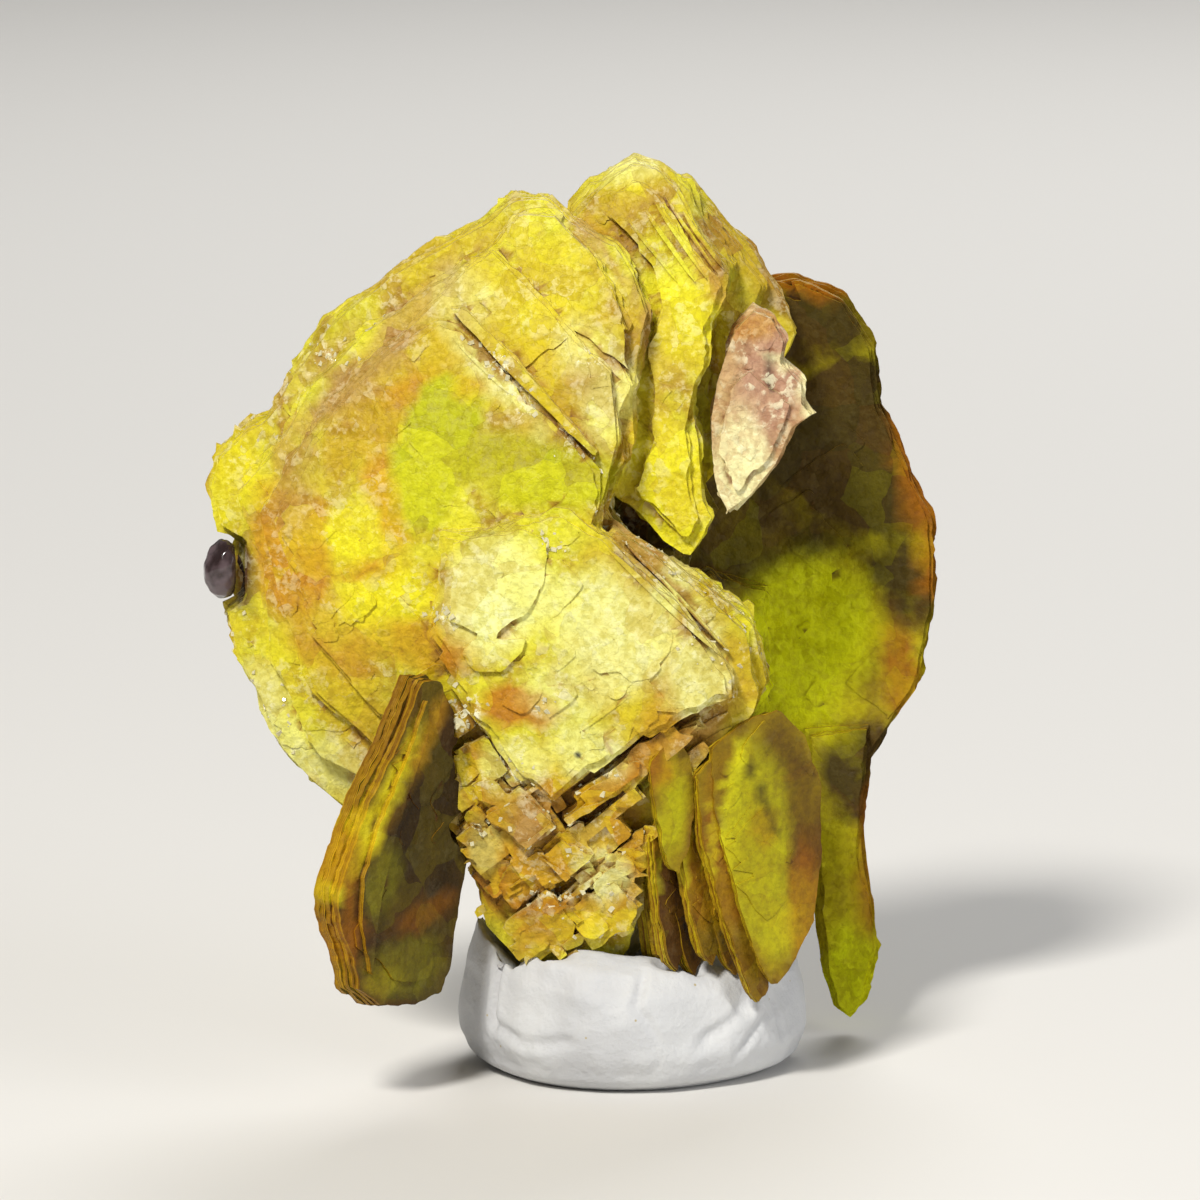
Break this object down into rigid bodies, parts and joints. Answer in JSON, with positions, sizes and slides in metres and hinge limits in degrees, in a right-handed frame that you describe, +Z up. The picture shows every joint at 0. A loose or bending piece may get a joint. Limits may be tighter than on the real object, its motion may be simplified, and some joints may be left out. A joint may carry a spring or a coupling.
{
  "type": "uranocircite mineral specimen",
  "caption": "Fan of flaky yellow-green tabular crystal books grown together, with a dark grain on the rim, standing in a pressed foot of white putty",
  "frame": {"origin": "middle of the putty foot's flat underside, on the surface it stands on", "axes": "+Z up, the broad crystal faces look towards -Y, +X to the right as they are looked at"},
  "size_m": [0.0201, 0.0144, 0.0247],
  "materials": {
    "pale_yellow_crystal": "pearly, flaky cleavage faces, pale yellow to ochre",
    "tan_crystal": "dull pinkish tan cleavage face with cream patches",
    "green_crystal": "translucent lime green leaves with brown rims",
    "brown_crystal": "olive brown leaf with an orange, finely leaved edge",
    "grey_grain": "glassy dark grey grain",
    "white_putty": "matt white mineral tack, pressed by hand"
  },
  "bodies": {
    "root": {"front_book": "pale_yellow_crystal", "upper_book": "pale_yellow_crystal", "side_plate": "tan_crystal", "rear_plate": "green_crystal", "left_blade": "brown_crystal", "blade_fan": "green_crystal", "dark_grain": "grey_grain", "putty_foot": "white_putty"}
  },
  "joints": []
}
